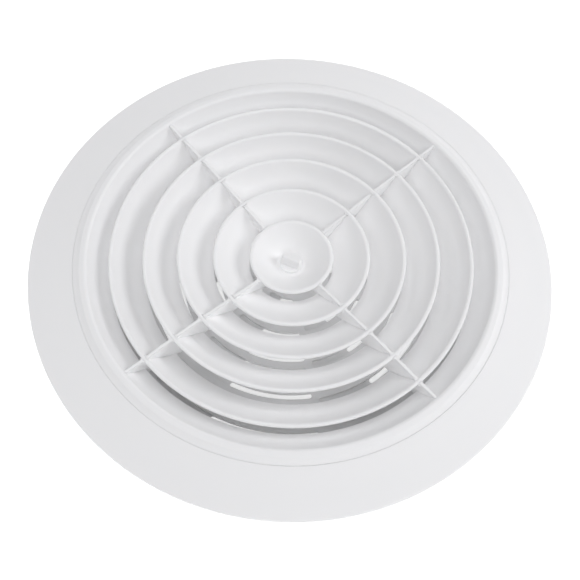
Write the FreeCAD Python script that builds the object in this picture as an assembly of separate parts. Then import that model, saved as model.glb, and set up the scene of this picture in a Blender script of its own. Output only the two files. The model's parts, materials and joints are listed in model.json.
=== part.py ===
"""Round ceiling air diffuser with four louvre rings and a knob-turned slotted damper.

The diffuser lies on its duct spigot with its face up: +Z points out of the face, along the
duct axis, and the origin is the centre of the spigot's free rim.  Every height below is
measured from the ceiling plane, the back of the face flange, and save() lifts it by
SPIGOT_DEPTH.  Angles are in degrees from +X, anticlockwise seen from the face.  All sizes are
in millimetres.
"""
import FreeCAD, Part
import math
import os
from FreeCAD import Vector

# ---- driving dimensions -------------------------------------------------------------------
FLANGE_R = 135.0            # outer radius of the face flange
SPIGOT_R = 99.0             # outer radius of the spigot, for a 200 mm duct
SPIGOT_DEPTH = 50.0         # from the ceiling plane to the spigot's free rim
SPINDLE_R = 3.0
RUNNING_GAP = 0.08          # radial clearance of the spindle in its bores
DAMPER_TRAVEL = 60.0        # rotor turn from fully open to shut
DAMPER_REST = 22.3          # how far the rotor stands from fully open as modelled

# ---- face flange and gasket ---------------------------------------------------------------
FLANGE_EDGE = 1.8           # thickness of the flange at its outer edge
FLANGE_SKIN = 2.2
SEAM_R = 111.6              # where the flange meets the louvre core
CREASE = (110.2, 6.93, 6.0)            # radius, height and fillet where the bead rises
LEDGE_IN_R = 103.2          # shelf of the flange that carries the louvre core
LEDGE_Z = (2.2, 4.2)
LEDGE_WALL_R = 113.4        # outer radius of the ledge, where the flange's skin begins
RIM_FOOT_WIDTH = 2.4        # flat foot of the flange that meets the ceiling
GUSSET_COUNT = 24
GUSSET_REACH = 7.5
GUSSET_FOOT_REACH = 4.0
GUSSET_THICK = 1.5
GASKET_R = (121.5, 129.5)
GASKET_PROUD = 1.0          # how far the loose foam stands behind the flange
GASKET_GAP = 0.05           # between the foam and the flange's back

# ---- louvre core: one lip per ring, from the centre dish outwards ---------------------------
LIP_R = (21.9, 40.8, 59.3, 76.6, 93.8)
LIP_Z = (0.95, 3.0, 5.1, 6.1, 6.45)
FOOT_Z = (-8.2, -9.0, -9.2, -10.8)     # lower inner edge of rings 1 to 4
LIP_WIDTH = 1.8
LIP_DEPTH = 0.9             # height of a lip's outer face
LIP_INNER_FILLET = 1.4
LIP_OUTER_FILLET = 0.7
BLADE_THICK = 1.8           # measured along Z
BLADE_STAND_OUT = 0.1       # how far a blade's foot clears the lip above it
BLADE_HOLLOW = 0.7          # how far the blade curves away from a straight cone
BLADE_BEND_SHARE = 0.85     # share of a blade's length that its curve takes
RIM_TOP_Z = 8.35
RIM_BEAD = ((108.2, 7.95, 1.2), (105.5, RIM_TOP_Z, 1.6))  # radius, height, fillet of its corners
RIM_WALL_TOP = (104.3, 7.65)
RIM_FOOT = (93.8, -3.3)
RIM_FOOT_OUTER = (95.2, -3.8)
RIM_GAP = 0.03              # between the rim and the flange
DISH_FLOOR_R = 7.6
DISH_FLOOR_Z = -7.65
HUB_R = 6.0
HUB_FOOT_Z = -18.0

# ---- radial ribs --------------------------------------------------------------------------
RIB_ANGLES = (45.0, 135.0, 225.0, 315.0)
RIB_THICK = 1.5
RIB_DROP = 0.12             # rib top edges lie this far under the ring lips
RIB_GUSSET = 1.1            # size of the small webs where ribs meet ring lips
RIB_GUSSET_DEPTH = 2.6
RIB_LAP_Z = -2.5            # rings are whole above this level, ribs are whole below it
RIB_RIM_TOP = (104.6, 7.45)            # ends of the ribs, inside the rim
RIB_RIM_FOOT = (97.5, -2.9)
RIB_SHOULDER_R = 88.5
RIB_SHOULDER_FILLET = 4.0
RIB_START_R = 10.0          # lower inner corner of the ribs, beside the hub

# ---- mounting ring, spigot and damper seat ------------------------------------------------
COLLAR_WALL = 2.0
BAND_Z = (-48.0, -33.0)     # plain leading band of the spigot, at full radius
NECK_R = 98.2               # outer radius above that band, where the clips sit
SPIGOT_TOP_Z = -8.0         # where the spigot meets the mounting ring
MOUNTING_FLANGE_Z = (0.2, 2.2)
FLARE_R = 103.2             # outer radius of the mounting ring under its flange
FLARE_FOOT_Z = -5.0
SEAT_IN_R = 93.2            # ledge inside the spigot that carries the damper
SEAT_THICK = 2.0
SEAT_BOSS_R = 2.0
SEAT_BOSS_DEPTH = 4.0

# ---- damper -------------------------------------------------------------------------------
PLATE_THICK = 1.2
PLATE_TOP_Z = -20.5         # face of the fixed plate
FIXED_PLATE_R = 96.8
ROTOR_R = 92.3
PLATE_GAP = 0.1             # between the fixed plate and the rotor
SECTOR_COUNT = 6
SECTOR_PHASE = 14.5         # centre of the fixed plate's first slotted sector
SPOKE_WIDTH = 3.2           # solid strip between two sectors
SLOT_WIDTH = 2.9
ROW_PITCH = 6.72
ROW_FIRST_R = 15.45
ROW_STAGGER = 3.5           # shift of the rows in every second sector
ROW_LAST_R = 90.5
ROTOR_HUB_DEPTH = 2.6       # how far the rotor's hub stands below its plate
STOP_PIN_R = 1.3
STOP_PIN_PROUD = 0.4        # how far the stop pin reaches past the rotor
STOP_TRACK_R = 10.5
STOP_TRACK_HALF = 1.6
STOP_ANGLE = 92.0           # place of the stop pin

# ---- knob and spindle ---------------------------------------------------------------------
KNOB_R = 6.0
KNOB_BASE = 1.7
KNOB_TOP_Z = -1.6
KNOB_SOCKET_DEPTH = 2.5
KNOB_ANGLE = -20.0          # direction of the grip bar as modelled
GRIP_FOOT = 6.6             # width of the tapered grip bar at its foot and at its top
GRIP_TOP = 2.4
GRIP_END_TAPER = 1.0
GRIP_FILLET = 0.6
FLOOR_GAP = 0.1             # between the knob and the dish
SQUARE = 3.8                # square drive at both ends of the spindle
SPINDLE_PROUD = 1.2         # how far the spindle ends below the rotor's hub
PILOT_DEPTH = 7.0           # pilot hole for the screw in the spindle's foot
SPRING_WASHER_R = (3.2, 5.6)
SPRING_WASHER_THICK = 0.5
PLAIN_WASHER_R = 6.0
PLAIN_WASHER_THICK = 0.8

# ---- fasteners and clips ------------------------------------------------------------------
FRAME_SCREW_ANGLES = (0.0, 60.0, 120.0, 180.0, 240.0, 300.0)
FRAME_SCREW_R = 106.8
FRAME_SHANK_R = 1.45
FRAME_SCREW_SIZE = (6.8, 2.8, 1.7)     # length, head radius, head height
FRAME_HOLE_DEPTH = 7.0
PLATE_SCREW_ANGLES = (56.1, 176.1, 296.1)
PLATE_SCREW_R = 94.9
PLATE_SHANK_R = 1.0
PLATE_SCREW_SIZE = (7.0, 1.9, 1.3)
PLATE_HOLE_DEPTH = 7.2
ROTOR_SCREW_SIZE = (6.8, 2.4, 1.5)
HOLE_GAP = 0.05             # radial gap round every screw and rivet
CLIP_ANGLES = (0.0, 120.0, 240.0)
CLIP_WIDTH = 12.0
CLIP_THICK = 0.6
CLIP_FOOT_Z = -32.0
CLIP_BEND_Z = -23.0
CLIP_CREST = (104.2, -12.5)
CLIP_TIP = (102.4, -7.0)
CLIP_GAP = 0.02             # between a clip and the spigot
RIVET_Z = -28.0
RIVET_R = 1.3
RIVET_HEAD = (2.6, 1.0)     # radius and height of the domed head
RIVET_TAIL = (2.0, 0.9)

# ---- levels worked out from the above ------------------------------------------------------
PLATE_FOOT_Z = PLATE_TOP_Z - PLATE_THICK
ROTOR_TOP_Z = PLATE_FOOT_Z - PLATE_GAP
ROTOR_FOOT_Z = ROTOR_TOP_Z - PLATE_THICK
ROTOR_HUB_FOOT_Z = ROTOR_FOOT_Z - ROTOR_HUB_DEPTH
SPINDLE_FOOT_Z = ROTOR_HUB_FOOT_Z - SPINDLE_PROUD
KNOB_FOOT_Z = DISH_FLOOR_Z + FLOOR_GAP
SEAT_FOOT_Z = PLATE_FOOT_Z - SEAT_THICK
BORE_R = SPINDLE_R + RUNNING_GAP
PLATE_HOLE_R = PLATE_SHANK_R + HOLE_GAP

UP = Vector(0, 0, 1)
ORIGIN = Vector(0, 0, 0)


# ---- helpers ------------------------------------------------------------------------------
def rounded_wire(corners):
    """Closed wire in the XZ plane through corners given as (radius, height, fillet)."""
    points = [Vector(r, 0, z) for r, z, _ in corners]
    tangents = []
    for i, (_, _, fillet) in enumerate(corners):
        here = points[i]
        to_last = (points[i - 1] - here).normalize()
        to_next = (points[(i + 1) % len(points)] - here).normalize()
        half = to_last.getAngle(to_next) / 2
        reach = fillet / math.tan(half)
        middle = here
        if fillet > 0:
            bisector = (to_last + to_next).normalize()
            middle = here + bisector * (fillet / math.sin(half) - fillet)
        tangents.append((here + to_last * reach, middle, here + to_next * reach))
    edges = []
    for i, (start, middle, end) in enumerate(tangents):
        edges.append(Part.LineSegment(tangents[i - 1][2], start).toShape())
        if corners[i][2] > 0:
            edges.append(Part.Arc(start, middle, end).toShape())
    return Part.Wire(edges)


def lathe(corners):
    """Solid of revolution about the Z axis."""
    return Part.Face(rounded_wire(corners)).revolve(ORIGIN, UP, 360)


def slab(corners, thickness):
    """Plate cut to corners in the XZ plane, centred on that plane."""
    face = Part.Face(rounded_wire(corners))
    face.translate(Vector(0, -thickness / 2, 0))
    return face.extrude(Vector(0, thickness, 0))


def rod(radius, low, high, x=0.0):
    """Upright cylinder between two heights."""
    return Part.makeCylinder(radius, high - low, Vector(x, 0, low))


def square_bar(side, low, high):
    """Upright square bar on the axis, between two heights."""
    return Part.makeBox(side, side, high - low, Vector(-side / 2, -side / 2, low))


def turned(shape, angle):
    """Copy of shape turned about the Z axis."""
    copy = shape.copy()
    copy.rotate(ORIGIN, UP, angle)
    return copy


def around(shape, angles):
    """List of copies of shape at the given angles."""
    return [turned(shape, angle) for angle in angles]


def half_space(low, high):
    """Block that spans the whole part between two heights."""
    width = 2 * FLANGE_R + 20
    return Part.makeBox(width, width, high - low, Vector(-width / 2, -width / 2, low))


def at_radius(radius, angle, z):
    """Point at a radius and an angle."""
    turn = math.radians(angle)
    return Vector(radius * math.cos(turn), radius * math.sin(turn), z)


def save(name, shape):
    """Write one sub-part, lifted so that the spigot's rim lies at height 0."""
    placed = shape.copy()
    placed.translate(Vector(0, 0, SPIGOT_DEPTH))
    placed.exportStep(f"parts/{name}.step")
    print(name, placed.isValid(), len(placed.Solids), round(placed.Volume))


# ---- face flange and gasket ---------------------------------------------------------------
def flange_face_z(radius):
    """Height of the flange's sloping face at a radius."""
    crease_r, crease_z, _ = CREASE
    slope = (crease_z - FLANGE_EDGE) / (FLANGE_R - crease_r)
    return FLANGE_EDGE + slope * (FLANGE_R - radius)


def flange_back_z(radius):
    """Height of the back of the flange's skin at a radius."""
    return flange_face_z(radius) - FLANGE_SKIN


def make_face_flange():
    low, high = LEDGE_Z
    skin_end_r = FLANGE_R - RIM_FOOT_WIDTH
    body = lathe([
        (FLANGE_R, 0.0, 0.3),
        (FLANGE_R, FLANGE_EDGE, 0.9),
        (SEAM_R, flange_face_z(SEAM_R), 0.0),
        (SEAM_R, high, 0.0),
        (LEDGE_IN_R, high, 0.3),
        (LEDGE_IN_R, low, 0.3),
        (LEDGE_WALL_R, low, 0.4),
        (LEDGE_WALL_R, flange_back_z(LEDGE_WALL_R), 0.8),
        (skin_end_r, flange_back_z(skin_end_r), 0.0),
        (skin_end_r - 0.2, 0.0, 0.0),
    ])
    step = 360.0 / GUSSET_COUNT
    body = body.fuse(around(make_gusset(low), [step * (i + 0.5) for i in range(GUSSET_COUNT)]))
    return body.cut(frame_screw_holes())


def make_gusset(low):
    """Triangular web between the flange's skin and its ledge, sunk a little into both."""
    root_r, tip_r = LEDGE_WALL_R - 0.5, LEDGE_WALL_R + GUSSET_REACH
    sunk = 0.6
    return slab([
        (root_r, low, 0.0),
        (root_r, flange_back_z(LEDGE_WALL_R) + sunk, 0.0),
        (tip_r, flange_back_z(tip_r) + sunk, 0.0),
        (tip_r, flange_back_z(tip_r) - 0.2, 0.0),
        (LEDGE_WALL_R + GUSSET_FOOT_REACH, low, 0.6),
    ], GUSSET_THICK)


def make_ceiling_gasket():
    inner, outer = GASKET_R
    return lathe([
        (inner, -GASKET_PROUD, 0.4),
        (inner, flange_back_z(inner) - GASKET_GAP, 0.0),
        (outer, flange_back_z(outer) - GASKET_GAP, 0.0),
        (outer, -GASKET_PROUD, 0.4),
    ])


# ---- louvre core --------------------------------------------------------------------------
def blade_bend(lip, foot):
    """Corner that bows a blade's face from lip to foot, with the fillet that rounds it."""
    run = Vector(lip[0] - foot[0], 0, lip[1] - foot[1])
    half = run.Length / 2
    depth = 2 * BLADE_HOLLOW
    away = Vector(run.z, 0, -run.x).normalize() * depth
    fillet = BLADE_BEND_SHARE * half * half / depth
    return (foot[0] + run.x / 2 + away.x, foot[1] + run.z / 2 + away.z, fillet)


def make_louvre_ring(i):
    """Ring i, from 1: a flared blade whose foot lies right under the next lip inwards."""
    lip_r, lip_z = LIP_R[i], LIP_Z[i]
    foot_r, foot_z = LIP_R[i - 1] + BLADE_STAND_OUT, FOOT_Z[i - 1]
    bend_r, bend_z, bend_fillet = blade_bend((lip_r - LIP_WIDTH, lip_z), (foot_r, foot_z))
    return lathe([
        (lip_r - LIP_WIDTH, lip_z, LIP_INNER_FILLET),
        (lip_r, lip_z, LIP_OUTER_FILLET),
        (lip_r, lip_z - LIP_DEPTH, 0.3),
        (bend_r, bend_z - BLADE_THICK, bend_fillet),
        (foot_r, foot_z - BLADE_THICK, 0.5),
        (foot_r, foot_z, 0.3),
        (bend_r, bend_z, bend_fillet),
    ])


def make_core_rim():
    """Bead and flared wall that carry the ribs and sit on the flange's ledge."""
    bead_r = SEAM_R - RIM_GAP
    body = lathe([
        (bead_r, LEDGE_Z[1], 0.2),
        (bead_r, flange_face_z(bead_r), 0.0),
        CREASE,
        *RIM_BEAD,
        (*RIM_WALL_TOP, 0.9),
        blade_bend(RIM_WALL_TOP, RIM_FOOT),
        (*RIM_FOOT, 0.3),
        (*RIM_FOOT_OUTER, 0.4),
        (LEDGE_IN_R - 0.3, LEDGE_Z[1], 0.4),
    ])
    return body.cut(frame_screw_holes())


def make_centre_dish():
    """Shallow dish with a floor for the knob and a hub that guides the spindle."""
    lip_r, lip_z = LIP_R[0], LIP_Z[0]
    return lathe([
        (lip_r - LIP_WIDTH, lip_z, LIP_INNER_FILLET),
        (lip_r, lip_z, LIP_OUTER_FILLET),
        (lip_r, lip_z - LIP_DEPTH, 0.3),
        (DISH_FLOOR_R + 1.2, DISH_FLOOR_Z - BLADE_THICK, 2.0),
        (HUB_R, DISH_FLOOR_Z - BLADE_THICK, 0.8),
        (HUB_R, HUB_FOOT_Z, 0.5),
        (BORE_R, HUB_FOOT_Z, 0.0),
        (BORE_R, DISH_FLOOR_Z, 0.0),
        (DISH_FLOOR_R, DISH_FLOOR_Z, 1.5),
    ])


def rib_web(edge_r, direction, lip_z):
    """Small web that widens a rib towards the edge of a ring's lip."""
    side = RIB_THICK / 2
    tip_r = edge_r + direction * RIB_GUSSET
    reach = side + RIB_GUSSET
    outline = [(edge_r, -reach), (tip_r, -side), (tip_r, side), (edge_r, reach)]
    low = lip_z - RIB_GUSSET_DEPTH
    wire = Part.makePolygon([Vector(x, y, low) for x, y in outline + outline[:1]])
    return Part.Face(wire).extrude(Vector(0, 0, RIB_GUSSET_DEPTH - RIB_DROP))


def make_radial_rib(angle, rings, ends):
    """Upright web from the centre dish to the rim, notched over the rings it crosses."""
    top = [(r, z - RIB_DROP, 0.0) for r, z in zip(LIP_R, LIP_Z)]
    foot = [(r, z - BLADE_THICK, 0.0) for r, z in zip(LIP_R[:4], FOOT_Z)]
    corners = [(LIP_R[0] - LIP_WIDTH / 2, LIP_Z[0] - RIB_DROP, 0.0)] + top
    corners += [(*RIB_RIM_TOP, 0.0), (*RIB_RIM_FOOT, 0.0)]
    corners += [(RIB_SHOULDER_R, foot[-1][1], RIB_SHOULDER_FILLET)] + foot[::-1]
    corners += [(RIB_START_R, foot[0][1], 0.0)]
    rib = slab(corners, RIB_THICK)
    webs = [rib_web(r, 1, z) for r, z in zip(LIP_R, LIP_Z)]
    webs += [rib_web(r - LIP_WIDTH, -1, z) for r, z in zip(LIP_R[1:], LIP_Z[1:])]
    rib = turned(rib.fuse(webs).removeSplitter(), angle)
    upper = half_space(RIB_LAP_Z, RIM_TOP_Z + 10)
    notches = [ring.common(upper) for ring in rings]
    return rib.cut(notches + ends)


def notch_rings(rings, ribs):
    """Take the ribs' lower halves out of the rings, so that they interlock."""
    return [ring.cut(ribs) for ring in rings]


# ---- mounting ring, spigot and damper seat ------------------------------------------------
def make_mounting_ring():
    """Flanged ring behind the face flange that joins it to the spigot."""
    inner_r = SPIGOT_R - COLLAR_WALL
    low, high = MOUNTING_FLANGE_Z
    ring = lathe([
        (inner_r, SPIGOT_TOP_Z, 0.0),
        (NECK_R, SPIGOT_TOP_Z, 0.0),
        (NECK_R, FLARE_FOOT_Z, 2.0),
        (FLARE_R, low, 0.8),
        (SEAM_R, low, 0.4),
        (SEAM_R, high, 0.3),
        (FLARE_R - COLLAR_WALL, high, 0.4),
        (inner_r, FLARE_FOOT_Z + 1.0, 2.0),
    ])
    return ring.cut(frame_screw_holes())


def make_duct_spigot():
    """Plain tube that enters the duct; the clips are riveted to its neck."""
    inner_r = SPIGOT_R - COLLAR_WALL
    low, high = BAND_Z
    tube = lathe([
        (inner_r, -SPIGOT_DEPTH, 0.3),
        (SPIGOT_R - 0.9, -SPIGOT_DEPTH, 0.4),
        (SPIGOT_R, low, 0.0),
        (SPIGOT_R, high, 0.0),
        (NECK_R, high + 0.4, 0.0),
        (NECK_R, SPIGOT_TOP_Z, 0.0),
        (inner_r, SPIGOT_TOP_Z, 0.0),
    ])
    return tube.cut(around(rivet_hole(), CLIP_ANGLES))


def make_damper_seat():
    """Ledge inside the spigot, with bosses for the screws of the fixed plate."""
    outer_r = SPIGOT_R - COLLAR_WALL
    ring = lathe([
        (outer_r, PLATE_FOOT_Z, 0.0),
        (SEAT_IN_R, PLATE_FOOT_Z, 0.3),
        (SEAT_IN_R, SEAT_FOOT_Z, 0.3),
        (outer_r, SEAT_FOOT_Z, 0.0),
    ])
    boss = rod(SEAT_BOSS_R, SEAT_FOOT_Z - SEAT_BOSS_DEPTH, SEAT_FOOT_Z + 0.5, PLATE_SCREW_R)
    ring = ring.fuse(around(boss, PLATE_SCREW_ANGLES))
    return ring.cut(plate_screw_holes())


# ---- damper -------------------------------------------------------------------------------
def arc_slot(radius, centre, half_angle, half_width, low, high):
    """Curved slot with round ends; half_angle reaches to the centres of the ends."""
    first, last = centre - half_angle, centre + half_angle
    inner, outer = radius - half_width, radius + half_width
    past = math.degrees(half_width / radius)
    edges = [
        Part.Arc(at_radius(outer, first, low), at_radius(outer, centre, low),
                 at_radius(outer, last, low)).toShape(),
        Part.Arc(at_radius(outer, last, low), at_radius(radius, last + past, low),
                 at_radius(inner, last, low)).toShape(),
        Part.Arc(at_radius(inner, last, low), at_radius(inner, centre, low),
                 at_radius(inner, first, low)).toShape(),
        Part.Arc(at_radius(inner, first, low), at_radius(radius, first - past, low),
                 at_radius(outer, first, low)).toShape(),
    ]
    return Part.Face(Part.Wire(edges)).extrude(Vector(0, 0, high - low))


def slot_rows(sector):
    """Radii of the slots in one sector; every second sector is staggered."""
    radius = ROW_FIRST_R + (ROW_STAGGER if sector % 2 else 0.0)
    rows = []
    while radius < ROW_LAST_R:
        rows.append(radius)
        radius += ROW_PITCH
    return rows


def damper_slots(phase, low, high):
    """All the air slots of one damper plate whose first sector is centred at phase."""
    slots = []
    half_width = SLOT_WIDTH / 2
    for sector in range(SECTOR_COUNT):
        centre = phase + sector * 360.0 / SECTOR_COUNT
        for radius in slot_rows(sector):
            ends = math.degrees((SPOKE_WIDTH / 2 + half_width) / radius)
            half_angle = 180.0 / SECTOR_COUNT - ends
            slots.append(arc_slot(radius, centre, half_angle, half_width, low, high))
    return slots


def make_fixed_plate():
    body = lathe([
        (BORE_R, PLATE_FOOT_Z, 0.0),
        (BORE_R, PLATE_TOP_Z, 0.0),
        (FIXED_PLATE_R, PLATE_TOP_Z, 0.3),
        (FIXED_PLATE_R, PLATE_FOOT_Z, 0.0),
    ])
    slots = damper_slots(SECTOR_PHASE, PLATE_FOOT_Z - 1, PLATE_TOP_Z + 1)
    body = body.cut(slots + plate_screw_holes())
    pin = rod(STOP_PIN_R, ROTOR_FOOT_Z - STOP_PIN_PROUD, PLATE_TOP_Z - 0.5, STOP_TRACK_R)
    return body.fuse(turned(pin, STOP_ANGLE))


def make_rotor_plate():
    """Slotted plate that covers the fixed plate's slots once a whole sector further on."""
    body = lathe([
        (0.0, ROTOR_HUB_FOOT_Z, 0.0),
        (0.0, ROTOR_TOP_Z, 0.0),
        (ROTOR_R, ROTOR_TOP_Z, 0.3),
        (ROTOR_R, ROTOR_FOOT_Z, 0.3),
        (HUB_R, ROTOR_FOOT_Z, 0.6),
        (HUB_R, ROTOR_HUB_FOOT_Z, 0.4),
    ])
    low, high = ROTOR_FOOT_Z - 1, ROTOR_TOP_Z + 1
    track_centre = STOP_ANGLE + DAMPER_REST - DAMPER_TRAVEL / 2
    track = arc_slot(STOP_TRACK_R, track_centre, DAMPER_TRAVEL / 2, STOP_TRACK_HALF, low, high)
    drive = turned(square_bar(SQUARE, ROTOR_HUB_FOOT_Z - 1, high), KNOB_ANGLE)
    return body.cut(damper_slots(SECTOR_PHASE + DAMPER_REST, low, high) + [track, drive])


# ---- knob and spindle ---------------------------------------------------------------------
def make_knob():
    low = KNOB_FOOT_Z
    base = lathe([
        (0.0, low, 0.0),
        (0.0, low + KNOB_BASE, 0.0),
        (KNOB_R, low + KNOB_BASE, 0.8),
        (KNOB_R, low, 0.2),
    ])
    knob = base.fuse(make_grip(low)).removeSplitter()
    socket = square_bar(SQUARE, low - 1, low + KNOB_SOCKET_DEPTH)
    return turned(knob.cut(socket), KNOB_ANGLE)


def make_grip(low):
    """Bar across the knob that tapers towards its top on all four sides."""
    section = [(-GRIP_FOOT / 2, low), (GRIP_FOOT / 2, low),
               (GRIP_TOP / 2, KNOB_TOP_Z), (-GRIP_TOP / 2, KNOB_TOP_Z)]
    wire = Part.makePolygon([Vector(-KNOB_R, y, z) for y, z in section + section[:1]])
    bar = Part.Face(wire).extrude(Vector(2 * KNOB_R, 0, 0))
    foot_r, top_r = KNOB_R - 0.1, KNOB_R - GRIP_END_TAPER
    bar = bar.common(Part.makeCone(foot_r, top_r, KNOB_TOP_Z - low, Vector(0, 0, low)))
    top_edges = [e for e in bar.Edges if e.BoundBox.ZMin > KNOB_TOP_Z - 0.01]
    return bar.makeFillet(GRIP_FILLET, top_edges)


def make_spindle():
    shaft = rod(SPINDLE_R, ROTOR_TOP_Z, KNOB_FOOT_Z)
    ends = square_bar(SQUARE, SPINDLE_FOOT_Z, KNOB_FOOT_Z + KNOB_SOCKET_DEPTH - 0.1)
    pilot = rod(PLATE_HOLE_R, SPINDLE_FOOT_Z - 1, SPINDLE_FOOT_Z + PILOT_DEPTH)
    return turned(shaft.fuse(ends).cut(pilot), KNOB_ANGLE)


def make_spring_washer():
    """Dished spring washer that presses the rotor against the fixed plate."""
    low, high = SPINDLE_FOOT_Z, ROTOR_HUB_FOOT_Z
    inner, outer = SPRING_WASHER_R
    thick = SPRING_WASHER_THICK
    return lathe([
        (inner, high - thick, 0.0),
        (inner, high, 0.0),
        (inner + thick, high, 0.0),
        (outer, low + thick, 0.0),
        (outer, low, 0.0),
        (outer - thick, low, 0.0),
    ])


def make_plain_washer():
    low, high = SPINDLE_FOOT_Z - PLAIN_WASHER_THICK, SPINDLE_FOOT_Z
    return lathe([
        (PLATE_HOLE_R, low, 0.0),
        (PLATE_HOLE_R, high, 0.0),
        (PLAIN_WASHER_R, high, 0.15),
        (PLAIN_WASHER_R, low, 0.15),
    ])


# ---- fasteners ----------------------------------------------------------------------------
def pan_head_screw(shank_r, length, head_r, head_height):
    """Pan-head screw on the axis: its seat is at height 0 and its shank points up."""
    body = lathe([
        (0.0, -head_height, 0.0),
        (0.0, length, 0.0),
        (shank_r * 0.4, length, 0.0),
        (shank_r, length - shank_r, 0.0),
        (shank_r, 0.0, 0.0),
        (head_r, 0.0, 0.0),
        (head_r, -head_height, head_height * 0.6),
    ])
    arm = Part.makeBox(head_r * 1.2, head_r * 0.28, head_height,
                       Vector(-head_r * 0.6, -head_r * 0.14, -head_height * 1.4))
    return body.cut([arm, turned(arm, 90)])


def moved(shape, x, z):
    """Copy of shape shifted along X and Z."""
    copy = shape.copy()
    copy.translate(Vector(x, 0, z))
    return copy


def make_frame_screws():
    """Screws from behind, through mounting ring and flange into the louvre core."""
    screw = pan_head_screw(FRAME_SHANK_R, *FRAME_SCREW_SIZE)
    placed = moved(screw, FRAME_SCREW_R, MOUNTING_FLANGE_Z[0])
    return Part.makeCompound(around(placed, FRAME_SCREW_ANGLES))


def frame_screw_holes():
    low = MOUNTING_FLANGE_Z[0]
    hole = rod(FRAME_SHANK_R + HOLE_GAP, low - 1, low + FRAME_HOLE_DEPTH, FRAME_SCREW_R)
    return around(hole, FRAME_SCREW_ANGLES)


def make_plate_screws():
    """Screws from the face side that hold the fixed plate to its seat."""
    screw = pan_head_screw(PLATE_SHANK_R, *PLATE_SCREW_SIZE)
    screw.rotate(ORIGIN, Vector(1, 0, 0), 180)
    placed = moved(screw, PLATE_SCREW_R, PLATE_TOP_Z)
    return Part.makeCompound(around(placed, PLATE_SCREW_ANGLES))


def plate_screw_holes():
    hole = rod(PLATE_HOLE_R, PLATE_TOP_Z - PLATE_HOLE_DEPTH, PLATE_TOP_Z + 1, PLATE_SCREW_R)
    return around(hole, PLATE_SCREW_ANGLES)


def make_rotor_screw():
    screw = pan_head_screw(PLATE_SHANK_R, *ROTOR_SCREW_SIZE)
    return moved(screw, 0, SPINDLE_FOOT_Z - PLAIN_WASHER_THICK)


# ---- retaining clips ----------------------------------------------------------------------
def make_clip():
    """Leaf spring on the spigot's side, riveted at its foot and free at the flange end."""
    base_r = NECK_R + CLIP_GAP
    crest_r, crest_z = CLIP_CREST
    tip_r, tip_z = CLIP_TIP
    strip = slab([
        (base_r, CLIP_FOOT_Z, 0.0),
        (base_r, CLIP_BEND_Z, 3.0),
        (crest_r - CLIP_THICK, crest_z, 1.4),
        (tip_r - CLIP_THICK, tip_z, 0.0),
        (tip_r, tip_z, 0.0),
        (crest_r + 0.05, crest_z, 2.0),
        (base_r + CLIP_THICK, CLIP_BEND_Z - 0.1, 2.4),
        (base_r + CLIP_THICK, CLIP_FOOT_Z, 0.0),
    ], CLIP_WIDTH)
    return strip.cut(rivet_hole())


def rivet_hole():
    return Part.makeCylinder(RIVET_R + HOLE_GAP, 8.0, Vector(SPIGOT_R - 4.0, 0, RIVET_Z),
                             Vector(1, 0, 0))


def make_rivets():
    """Blind rivets: domed head outside the clip, upset tail inside the spigot."""
    inner = SPIGOT_R - COLLAR_WALL - 0.1
    outer = NECK_R + CLIP_GAP + CLIP_THICK
    head_r, head_height = RIVET_HEAD
    tail_r, tail_height = RIVET_TAIL
    rivet = lathe([
        (0.0, inner - tail_height, 0.0),
        (0.0, outer + head_height, 0.0),
        (head_r, outer + head_height, 0.8),
        (head_r, outer, 0.0),
        (RIVET_R, outer, 0.0),
        (RIVET_R, inner, 0.0),
        (tail_r, inner, 0.0),
        (tail_r, inner - tail_height, 0.5),
    ])
    rivet.rotate(ORIGIN, Vector(0, 1, 0), 90)
    rivet.translate(Vector(0, 0, RIVET_Z))
    return Part.makeCompound(around(rivet, CLIP_ANGLES))


# ---- assembly -----------------------------------------------------------------------------
def save_louvre_core():
    dish, rim = make_centre_dish(), make_core_rim()
    whole_rings = [make_louvre_ring(i) for i in range(1, len(LIP_R))]
    ribs = [make_radial_rib(angle, whole_rings, [dish, rim]) for angle in RIB_ANGLES]
    save("centre_dish", dish)
    save("core_rim", rim)
    for number, rib in enumerate(ribs, 1):
        save(f"radial_rib_{number}", rib)
    for number, ring in enumerate(notch_rings(whole_rings, ribs), 1):
        save(f"louvre_ring_{number}", ring)


def save_damper():
    save("damper_fixed_plate", make_fixed_plate())
    save("damper_rotor_plate", make_rotor_plate())
    save("control_knob", make_knob())
    save("knob_spindle", make_spindle())
    save("spring_washer", make_spring_washer())
    save("plain_washer", make_plain_washer())
    save("rotor_screw", make_rotor_screw())


def save_housing():
    save("face_flange", make_face_flange())
    save("ceiling_gasket", make_ceiling_gasket())
    save("mounting_ring", make_mounting_ring())
    save("duct_spigot", make_duct_spigot())
    save("damper_seat", make_damper_seat())
    save("frame_screws", make_frame_screws())
    save("damper_plate_screws", make_plate_screws())
    save("clip_rivets", make_rivets())
    for number, clip in enumerate(around(make_clip(), CLIP_ANGLES), 1):
        save(f"retaining_clip_{number}", clip)


os.makedirs("parts", exist_ok=True)
save_housing()
save_louvre_core()
save_damper()
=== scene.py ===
"""Looks of the round ceiling air diffuser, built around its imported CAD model.

Everything is in metres in the row frame: the diffuser stands on its spigot, face up, with
the duct axis on Z.  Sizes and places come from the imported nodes' boxes.
"""
import json
import math

import bpy
from mathutils import Matrix, Vector, noise


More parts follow.
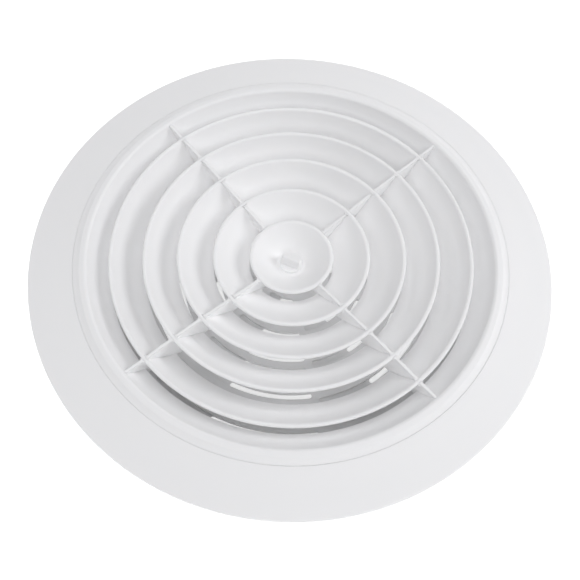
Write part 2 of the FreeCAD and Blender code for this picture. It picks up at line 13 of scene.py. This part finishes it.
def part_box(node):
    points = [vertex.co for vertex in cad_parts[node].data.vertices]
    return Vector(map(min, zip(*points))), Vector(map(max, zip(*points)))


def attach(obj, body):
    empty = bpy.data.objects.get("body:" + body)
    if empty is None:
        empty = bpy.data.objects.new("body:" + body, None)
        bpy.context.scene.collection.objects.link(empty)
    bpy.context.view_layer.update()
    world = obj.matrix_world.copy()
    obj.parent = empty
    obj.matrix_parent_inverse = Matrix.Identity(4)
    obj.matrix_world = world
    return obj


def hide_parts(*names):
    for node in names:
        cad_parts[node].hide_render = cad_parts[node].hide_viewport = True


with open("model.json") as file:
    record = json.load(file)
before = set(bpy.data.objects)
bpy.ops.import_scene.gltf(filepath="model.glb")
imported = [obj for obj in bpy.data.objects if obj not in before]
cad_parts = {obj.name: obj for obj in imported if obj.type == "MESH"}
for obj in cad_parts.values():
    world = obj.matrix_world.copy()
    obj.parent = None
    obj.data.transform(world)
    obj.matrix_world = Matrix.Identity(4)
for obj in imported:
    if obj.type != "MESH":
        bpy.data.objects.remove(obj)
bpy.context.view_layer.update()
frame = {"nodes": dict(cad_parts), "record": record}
MM = 0.001

# ---- places taken from the frame -----------------------------------------------------------
FLANGE_LOW, FLANGE_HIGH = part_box("face_flange")
FLANGE_R = FLANGE_HIGH.x
FLANGE_EDGE_THICK = 1.8 * MM
FLANGE_EDGE_Z = FLANGE_LOW.z + FLANGE_EDGE_THICK
SPIGOT_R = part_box("duct_spigot")[1].x

# ---- camera --------------------------------------------------------------------------------
CAMERA_AZIMUTH = math.radians(1.81)
CAMERA_ELEVATION = math.radians(60.69)
CAMERA_ROLL = math.radians(2.90)
CAMERA_DISTANCE = 3.222 * FLANGE_R
CAMERA_LENS = 51.93
CAMERA_SHIFT = (-0.0028, -0.0605)

# ---- light ---------------------------------------------------------------------------------
WORLD_STRENGTH = 0.315
LIGHT_COLOUR = (0.983, 0.983, 1.0)
LIGHT_BOUNCES = 14          # white recesses pass light on many times
SOFT_BOX_SIZE = 0.8
SOFT_BOX_DISTANCE = 1.6
SOFT_BOXES = (              # name, azimuth and elevation in degrees, power in watts
    ("key_right", 10, 30, 8.5),
    ("camera_side", -88, 44, 5.1),
    ("top", 90, 72, 4.9),
    ("fill_left", 180, 42, 2.4),
)
FLOOR_HALF_WIDTH = 40.0     # wide enough that its edges pass for a horizon
# The floor glows evenly round the diffuser; inside the spigot its glow is turned down, painted
# shade seen through the damper slots.
FLOOR_GLOW = 0.62           # of the floor round the diffuser, and inside its spigot
FLOOR_GLOW_INSIDE_PAINTED_SHADE = 0.29

# ---- detail sizes --------------------------------------------------------------------------
CLIP_AZIMUTHS = (0.0, 120.0, 240.0)
CLIP_BEND = 0.36            # shares of a clip's height where it leaves the neck and crests
CLIP_CREST = 0.78
CLIP_TIP_BACK = 1.8 * MM    # how far the tip falls back from the crest
CLIP_SHEET = 0.6 * MM
CLIP_STEPS, CLIP_ACROSS = 56, 16
CLIP_CORNER = 0.3           # share of each run that a bend rounds off
CLIP_CORNER_STEPS = 8
CLIP_FOOT_END = 0.09        # share of the length that the foot's corners take
CLIP_FOOT_ROUND = 0.28      # share of the width lost at the very foot, and at the tip
CLIP_TIP_END = 0.12
CLIP_TIP_ROUND = 0.45
CLIP_TAPER_FROM = 0.72      # share of the length where the leaf begins to narrow
CLIP_TAPER = 0.18
CLIP_EDGE_FROM = 0.9        # share of the half width where the sheet's edge thins
CLIP_EDGE_THIN = 0.55
CLIP_BEAD = 0.45 * MM       # height of the pressed stiffening bead
CLIP_BEAD_SPAN = (0.34, 0.66)
CLIP_BEAD_RUNOUT = 0.06
CLIP_BEAD_WIDTH = 0.22
RIVET_HEAD_R = 2.6 * MM
RIVET_HEAD = 1.0 * MM
RIVET_SHANK_R = 1.3 * MM
RIVET_HOLE_SHARE = 0.62     # of the shank's radius, where the mandrel broke off
RIVET_TAIL_R = 1.95 * MM
RIVET_TAIL = 0.9 * MM
RIVET_GRIP = 2.1 * MM       # neck wall and play between head and tail
RIVET_SIDES = 40
FOAM_VOXEL = 0.8 * MM
FOAM_PITS = 0.16 * MM
FOAM_PIT_SCALE = 700.0
FOAM_WAVE_SCALE = 90.0
FOAM_JOINT_DEPTH = 0.5 * MM
FOAM_JOINT = math.radians(205)          # where the foam strip's two ends meet
SOFT_EDGE = 0.5 * MM       # how far the shading of edges is rounded


# ---- materials -----------------------------------------------------------------------------
class Nodes:
    """Small helper that builds one node material."""

    def __init__(self, name):
        self.material = bpy.data.materials.new(name)
        self.material.use_nodes = True
        self.tree = self.material.node_tree
        self.shader = self.tree.nodes["Principled BSDF"]
        self.place = self.add("ShaderNodeTexCoord").outputs["Object"]

    def add(self, kind, **inputs):
        node = self.tree.nodes.new(kind)
        for key, value in inputs.items():
            self.feed(node.inputs[key.replace("_", " ")], value)
        return node

    def feed(self, socket, value):
        if isinstance(value, bpy.types.NodeSocket):
            self.tree.links.new(value, socket)
        else:
            socket.default_value = value

    def stretched(self, scale):
        return self.add("ShaderNodeMapping", Vector=self.place, Scale=scale).outputs["Vector"]

    def noise(self, scale, detail=2.0, roughness=0.5, where=None):
        node = self.add("ShaderNodeTexNoise", Vector=where or self.place, Scale=scale,
                        Detail=detail, Roughness=roughness)
        return node.outputs["Fac"]

    def turning_marks(self, scale):
        """Concentric lines round the duct axis, as a lathe leaves in a mould."""
        node = self.add("ShaderNodeTexWave", Vector=self.place, Scale=scale, Distortion=0.4,
                        Detail=1.0)
        node.wave_type = "RINGS"
        node.rings_direction = "Z"
        return node.outputs["Fac"]

    def between(self, factor, low, high):
        node = self.add("ShaderNodeMapRange", Value=factor, To_Min=low, To_Max=high)
        return node.outputs["Result"]

    def tint(self, factor, first, second):
        ramp = self.add("ShaderNodeValToRGB", Fac=factor)
        ramp.color_ramp.elements[0].position = 0.3
        ramp.color_ramp.elements[1].position = 0.7
        ramp.color_ramp.elements[0].color = (*first, 1.0)
        ramp.color_ramp.elements[1].color = (*second, 1.0)
        return ramp.outputs["Color"]

    def bump(self, heights):
        """Soft edges, then a chain of bumps from (height, strength, distance) rows."""
        normal = self.add("ShaderNodeBevel", Radius=SOFT_EDGE).outputs["Normal"]
        for height, strength, distance in heights:
            node = self.add("ShaderNodeBump", Height=height, Strength=strength,
                            Distance=distance, Normal=normal)
            normal = node.outputs["Normal"]
        self.feed(self.shader.inputs["Normal"], normal)

    def set(self, **inputs):
        for key, value in inputs.items():
            self.feed(self.shader.inputs[key.replace("_", " ")], value)


def moulded_plastic(name, light, dark, roughness, grain, glow=0.12):
    """White ABS: faint cloudiness, spark-eroded grain and the mould's turning marks."""
    n = Nodes(name)
    cloud = n.noise(14.0, 3.0)
    n.set(
        Base_Color=n.tint(cloud, dark, light),
        Roughness=n.between(n.noise(90.0, 4.0), roughness - 0.06, roughness + 0.08),
        Subsurface_Weight=glow,
        Subsurface_Radius=(1.0, 0.95, 0.9),
        Subsurface_Scale=0.0012,
        Specular_IOR_Level=0.32,
    )
    n.bump([
        (n.noise(2600.0, 3.0, 0.6), grain, 0.03 * MM),
        (n.turning_marks(260.0), 0.10, 0.01 * MM),
        (n.noise(30.0, 2.0), 0.10, 0.12 * MM),
    ])
    return n.material


def foam(name):
    """Dark closed-cell foam with pitted skin."""
    n = Nodes(name)
    cells = n.add("ShaderNodeTexVoronoi", Vector=n.place, Scale=1100.0).outputs["Distance"]
    n.set(
        Base_Color=n.tint(n.noise(900.0, 4.0), (0.035, 0.036, 0.038), (0.085, 0.087, 0.09)),
        Roughness=n.between(cells, 0.8, 1.0),
        Specular_IOR_Level=0.2,
        Sheen_Weight=0.25,
    )
    n.bump([(cells, 0.8, 0.25 * MM), (n.noise(400.0, 4.0), 0.4, 0.2 * MM)])
    return n.material


def rolled_metal(name, first, second, roughness, stretch):
    """Metal with a drawn grain and a slight change of tint."""
    n = Nodes(name)
    grain = n.noise(1.0, 3.0, 0.6, n.stretched(stretch))
    n.set(
        Base_Color=n.tint(n.noise(160.0, 3.0), first, second),
        Metallic=1.0,
        Roughness=n.between(grain, roughness - 0.08, roughness + 0.12),
    )
    n.bump([(grain, 0.15, 0.02 * MM), (n.noise(700.0, 3.0), 0.1, 0.02 * MM)])
    return n.material


def make_materials():
    white = (0.984, 0.984, 0.985)
    return {
        "white_abs_face": moulded_plastic("white_abs_face", white, (0.974, 0.974, 0.975),
                                          0.52, 0.22),
        "white_abs_collar": moulded_plastic("white_abs_collar", (0.9, 0.9, 0.9),
                                            (0.87, 0.87, 0.872), 0.5, 0.5),
        # The damper's white ABS gets a darker base colour than the face: painted shade of the
        # plates deep behind the rings.
        "white_abs_damper": moulded_plastic("white_abs_damper", (0.8, 0.8, 0.8),
                                            (0.77, 0.77, 0.772), 0.5, 0.4),
        "white_abs_knob": moulded_plastic("white_abs_knob", white, (0.93, 0.93, 0.932),
                                          0.42, 0.15),
        "white_acetal_spindle": moulded_plastic("white_acetal_spindle", (0.88, 0.88, 0.86),
                                                (0.84, 0.84, 0.82), 0.34, 0.1, 0.35),
        "grey_foam": foam("grey_foam"),
        "spring_steel": rolled_metal("spring_steel", (0.56, 0.56, 0.57), (0.66, 0.66, 0.66),
                                     0.3, (1500.0, 1500.0, 60.0)),
        "aluminium_rivet": rolled_metal("aluminium_rivet", (0.76, 0.76, 0.77),
                                        (0.84, 0.84, 0.84), 0.34, (900.0, 900.0, 900.0)),
        "zinc_plated_steel": rolled_metal("zinc_plated_steel", (0.66, 0.68, 0.71),
                                          (0.74, 0.72, 0.66), 0.3, (700.0, 700.0, 700.0)),
    }


def dress_cad_nodes(materials):
    """Give every CAD node the material of its slot in the record."""
    for row in frame["record"]["subparts"]:
        mesh = frame["nodes"][row["node"]].data
        mesh.materials.clear()
        mesh.materials.append(materials[row["material_slot"]])


# ---- mesh pieces ---------------------------------------------------------------------------
def add_piece(name, mesh, body, slot, material, *nodes):
    piece = bpy.data.objects.new(name, mesh)
    bpy.context.scene.collection.objects.link(piece)
    mesh.materials.clear()
    mesh.materials.append(material)
    for face in mesh.polygons:
        face.use_smooth = True
    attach(piece, body)
    if nodes:
        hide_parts(*nodes)
    return piece


def mesh_of(name, islands):
    """Mesh joined from (points, faces) islands."""
    points, faces = [], []
    for island_points, island_faces in islands:
        start = len(points)
        points += island_points
        faces += [tuple(start + i for i in face) for face in island_faces]
    mesh = bpy.data.meshes.new(name)
    mesh.from_pydata([tuple(p) for p in points], [], faces)
    mesh.validate()
    return mesh


def lathe(profile, count):
    """Closed solid of revolution about Z; the profile's first and last points are on the axis."""
    points = [Vector((0, 0, profile[0][1]))]
    for radius, z in profile[1:-1]:
        for k in range(count):
            turn = 2 * math.pi * k / count
            points.append(Vector((radius * math.cos(turn), radius * math.sin(turn), z)))
    points.append(Vector((0, 0, profile[-1][1])))
    last = len(points) - 1
    faces = []
    for k in range(count):
        after = (k + 1) % count
        faces.append((0, 1 + after, 1 + k))
        for row in range(len(profile) - 3):
            low, high = 1 + row * count, 1 + (row + 1) * count
            faces.append((low + k, low + after, high + after, high + k))
        top = 1 + (len(profile) - 3) * count
        faces.append((last, top + k, top + after))
    return points, faces


def placed(island, matrix):
    points, faces = island
    return [matrix @ p for p in points], faces


def arc(centre, radius, first, last, steps):
    """Points (r, z) on an arc between two angles in degrees."""
    out = []
    for i in range(steps + 1):
        a = math.radians(first + (last - first) * i / steps)
        out.append((centre[0] + radius * math.cos(a), centre[1] + radius * math.sin(a)))
    return out


# ---- foam gasket ---------------------------------------------------------------------------
def foam_depth(point):
    """How deep the foam's skin lies under its CAD surface at a point."""
    pits = noise.turbulence(point * FOAM_PIT_SCALE, 3, False)
    waves = noise.noise(point * FOAM_WAVE_SCALE)
    depth = FOAM_PITS * (0.35 + 0.5 * pits + 0.3 * waves)
    along = (math.atan2(point.y, point.x) - FOAM_JOINT + math.pi) % (2 * math.pi) - math.pi
    gap = abs(along) * math.hypot(point.x, point.y) / FOAM_VOXEL
    return depth + FOAM_JOINT_DEPTH * max(0.0, 1.0 - gap)


def make_foam_gasket(material):
    node = frame["nodes"]["ceiling_gasket"]
    rough = bpy.data.objects.new("foam_rough", node.data.copy())
    bpy.context.scene.collection.objects.link(rough)
    remesh = rough.modifiers.new("remesh", "REMESH")
    remesh.mode = "VOXEL"
    remesh.voxel_size = FOAM_VOXEL
    graph = bpy.context.evaluated_depsgraph_get()
    mesh = bpy.data.meshes.new_from_object(rough.evaluated_get(graph))
    bpy.data.objects.remove(rough)
    moves = [v.normal * foam_depth(v.co) for v in mesh.vertices]
    for vertex, move in zip(mesh.vertices, moves):
        vertex.co -= move
    mesh.name = "foam_gasket"
    add_piece("foam_gasket", mesh, "housing", "grey_foam", material, "ceiling_gasket")


# ---- spring clips and rivets ---------------------------------------------------------------
def clip_path(base_x, crest_x, low_z, high_z, steps):
    """Middle line of a clip in the XZ plane: up the neck, out to the crest, back at the tip."""
    height = high_z - low_z
    ways = [
        (base_x, low_z),
        (base_x, low_z + CLIP_BEND * height),
        (crest_x, low_z + CLIP_CREST * height),
        (crest_x - CLIP_TIP_BACK, high_z),
    ]
    knots = [Vector((x, 0, z)) for x, z in ways]
    stops = [knots[0]]
    for last, here, after in zip(knots, knots[1:], knots[2:]):
        start = here.lerp(last, CLIP_CORNER)
        end = here.lerp(after, CLIP_CORNER)
        for i in range(CLIP_CORNER_STEPS + 1):
            t = i / CLIP_CORNER_STEPS
            stops.append(start.lerp(here, t).lerp(here.lerp(end, t), t))
    stops.append(knots[-1])
    return evenly_spaced(stops, steps)


def evenly_spaced(stops, steps):
    """Points at equal distances along a polyline."""
    lengths = [0.0]
    for a, b in zip(stops, stops[1:]):
        lengths.append(lengths[-1] + (b - a).length)
    line = []
    for i in range(steps + 1):
        want = lengths[-1] * i / steps
        k = max(j for j, done in enumerate(lengths[:-1]) if done <= want + 1e-12)
        share = (want - lengths[k]) / max(lengths[k + 1] - lengths[k], 1e-12)
        line.append(stops[k].lerp(stops[k + 1], share))
    return line


def clip_half_width(share, half):
    """Half width along a clip: rounded foot corners, and a tip that narrows and rounds off."""
    foot = min(share / CLIP_FOOT_END, 1.0)
    tip = min((1.0 - share) / CLIP_TIP_END, 1.0)
    foot_round = 1.0 - CLIP_FOOT_ROUND * (1.0 - math.sqrt(1.0 - (1.0 - foot) ** 2))
    tip_round = 1.0 - CLIP_TIP_ROUND * (1.0 - math.sqrt(1.0 - (1.0 - tip) ** 2))
    taper_length = 1.0 - CLIP_TAPER_FROM
    narrowing = 1.0 - CLIP_TAPER * max(0.0, (share - CLIP_TAPER_FROM) / taper_length)
    return half * foot_round * narrowing * tip_round


def clip_mesh(low, high):
    """Pressed spring leaf at azimuth 0, as an upper and a lower skin joined at the edges."""
    steps, across = CLIP_STEPS, CLIP_ACROSS
    bead_start, bead_stop = CLIP_BEAD_SPAN
    half_sheet = CLIP_SHEET / 2
    line = clip_path(low.x + half_sheet, high.x - half_sheet, low.z, high.z, steps)
    points = []
    for side in (1, -1):
        for i, middle in enumerate(line):
            along = line[min(i + 1, steps)] - line[max(i - 1, 0)]
            out = Vector((along.z, 0, -along.x)).normalized()
            share = i / steps
            half = clip_half_width(share, high.y)
            bead_end = max(0.0, min(1.0, (share - bead_start) / CLIP_BEAD_RUNOUT,
                                    (bead_stop - share) / CLIP_BEAD_RUNOUT))
            for j in range(across + 1):
                v = 2.0 * j / across - 1.0
                past_edge = max(0.0, (abs(v) - CLIP_EDGE_FROM) / (1.0 - CLIP_EDGE_FROM))
                edge = half_sheet * (1.0 - past_edge ** 2 * CLIP_EDGE_THIN)
                bead = CLIP_BEAD * bead_end * math.exp(-((v / CLIP_BEAD_WIDTH) ** 2))
                points.append(middle + Vector((0, v * half, 0)) + out * (side * edge + bead))
    row = across + 1
    skin = (steps + 1) * row
    faces = []
    for i in range(steps):
        for j in range(across):
            a = i * row + j
            faces.append((a, a + row, a + row + 1, a + 1))
            faces.append((skin + a, skin + a + 1, skin + a + row + 1, skin + a + row))
    for i in range(steps):
        for a, b in ((i * row, (i + 1) * row), ((i + 1) * row + across, i * row + across)):
            faces.append((a, skin + a, skin + b, b))
    for j in range(across):
        for a, b in ((j + 1, j), (steps * row + j, steps * row + j + 1)):
            faces.append((a, skin + a, skin + b, b))
    return points, faces


def make_spring_clips(material):
    low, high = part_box("retaining_clip_1")
    leaf = clip_mesh(low, high)
    for number, azimuth in enumerate(CLIP_AZIMUTHS, 1):
        turn = Matrix.Rotation(math.radians(azimuth), 4, "Z")
        mesh = mesh_of(f"spring_clip_{number}", [placed(leaf, turn)])
        add_piece(f"spring_clip_{number}", mesh, "housing", "spring_steel", material,
                  f"retaining_clip_{number}")


def make_rivets(material):
    """Blind rivets with a domed head, the broken mandrel in its hole, and an upset tail."""
    low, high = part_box("clip_rivets")
    seat = high.x - RIVET_HEAD
    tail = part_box("duct_spigot")[1].x
    inner = tail - RIVET_GRIP
    hole_r = RIVET_HOLE_SHARE * RIVET_SHANK_R
    profile = [(0.0, high.x - 0.30 * MM), (hole_r * 0.8, high.x - 0.34 * MM),
               (hole_r * 0.95, high.x - 0.42 * MM), (hole_r, high.x - 0.05 * MM)]
    profile += [(r, z) for r, z in arc((1.1 * MM, seat - 0.9 * MM), 1.9 * MM, 80, 30, 10)
                if seat < z < high.x]
    profile += [(RIVET_HEAD_R, seat + 0.12 * MM), (RIVET_HEAD_R - 0.05 * MM, seat)]
    profile += [(RIVET_SHANK_R, seat), (RIVET_SHANK_R, inner)]
    profile += [(1.9 * MM, inner - 0.15 * MM), (RIVET_TAIL_R, inner - 0.5 * MM),
                (RIVET_SHANK_R, inner - 0.85 * MM), (0.0, inner - RIVET_TAIL)]
    rivet = lathe(profile[::-1], RIVET_SIDES)
    middle = Matrix.Translation((0, 0, (low.z + high.z) / 2))
    tip_over = Matrix.Rotation(math.radians(90), 4, "Y")
    turns = [Matrix.Rotation(math.radians(a), 4, "Z") for a in CLIP_AZIMUTHS]
    mesh = mesh_of("rivets", [placed(rivet, turn @ middle @ tip_over) for turn in turns])
    add_piece("rivets", mesh, "housing", "aluminium_rivet", material, "clip_rivets")


# ---- camera, light and floor ---------------------------------------------------------------
def make_camera():
    data = bpy.data.cameras.new("camera")
    data.lens = CAMERA_LENS
    data.sensor_width = 36.0
    data.shift_x, data.shift_y = CAMERA_SHIFT
    data.clip_start, data.clip_end = 0.01, 50.0
    camera = bpy.data.objects.new("camera", data)
    bpy.context.scene.collection.objects.link(camera)
    flat = math.cos(CAMERA_ELEVATION)
    back = Vector((math.sin(CAMERA_AZIMUTH) * flat, -math.cos(CAMERA_AZIMUTH) * flat,
                   math.sin(CAMERA_ELEVATION)))
    camera.rotation_mode = "QUATERNION"
    roll = Matrix.Rotation(CAMERA_ROLL, 4, "Z").to_quaternion()
    camera.rotation_quaternion = (-back).to_track_quat("-Z", "Y") @ roll
    camera.location = Vector((0, 0, FLANGE_EDGE_Z)) + back * CAMERA_DISTANCE
    bpy.context.scene.camera = camera


def soft_box(name, azimuth, elevation, power):
    """Square soft box aimed at the middle of the flange."""
    data = bpy.data.lights.new(name, "AREA")
    data.size = SOFT_BOX_SIZE
    data.energy = power
    data.color = LIGHT_COLOUR
    light = bpy.data.objects.new(name, data)
    turn, lift = math.radians(azimuth), math.radians(elevation)
    away = Vector((math.cos(turn) * math.cos(lift), math.sin(turn) * math.cos(lift),
                   math.sin(lift)))
    light.location = Vector((0, 0, FLANGE_EDGE_Z)) + away * SOFT_BOX_DISTANCE
    light.rotation_mode = "QUATERNION"
    light.rotation_quaternion = (-away).to_track_quat("-Z", "Y")
    bpy.context.scene.collection.objects.link(light)


def make_light():
    world = bpy.data.worlds.new("studio")
    world.use_nodes = True
    background = world.node_tree.nodes["Background"]
    background.inputs["Color"].default_value = (*LIGHT_COLOUR, 1.0)
    background.inputs["Strength"].default_value = WORLD_STRENGTH
    bpy.context.scene.world = world
    for row in SOFT_BOXES:
        soft_box(*row)
    bpy.context.scene.cycles.max_bounces = LIGHT_BOUNCES
    bpy.context.scene.cycles.diffuse_bounces = LIGHT_BOUNCES
    bpy.context.scene.view_settings.view_transform = "Standard"


def make_floor():
    half = FLOOR_HALF_WIDTH
    corners = [(-half, -half, 0), (half, -half, 0), (half, half, 0), (-half, half, 0)]
    mesh = bpy.data.meshes.new("floor")
    mesh.from_pydata(corners, [], [(0, 1, 2, 3)])
    floor = bpy.data.objects.new("floor", mesh)
    bpy.context.scene.collection.objects.link(floor)
    n = Nodes("floor")
    radius = n.add("ShaderNodeVectorMath", Vector=n.place)
    radius.operation = "LENGTH"
    # Glow falls from the flange's edge in to the spigot: painted shade on the floor under the
    # diffuser.
    glow = n.add("ShaderNodeMapRange", Value=radius.outputs["Value"], From_Min=SPIGOT_R,
                 From_Max=FLANGE_R, To_Min=FLOOR_GLOW_INSIDE_PAINTED_SHADE, To_Max=FLOOR_GLOW)
    n.set(Base_Color=(0.95, 0.95, 0.95, 1.0), Roughness=0.9, Specular_IOR_Level=0.1,
          Emission_Color=(1.0, 1.0, 1.0, 1.0), Emission_Strength=glow.outputs["Result"])
    mesh.materials.append(n.material)


make_camera()
make_light()
make_floor()
materials = make_materials()
dress_cad_nodes(materials)
make_foam_gasket(materials["grey_foam"])
make_spring_clips(materials["spring_steel"])
make_rivets(materials["aluminium_rivet"])
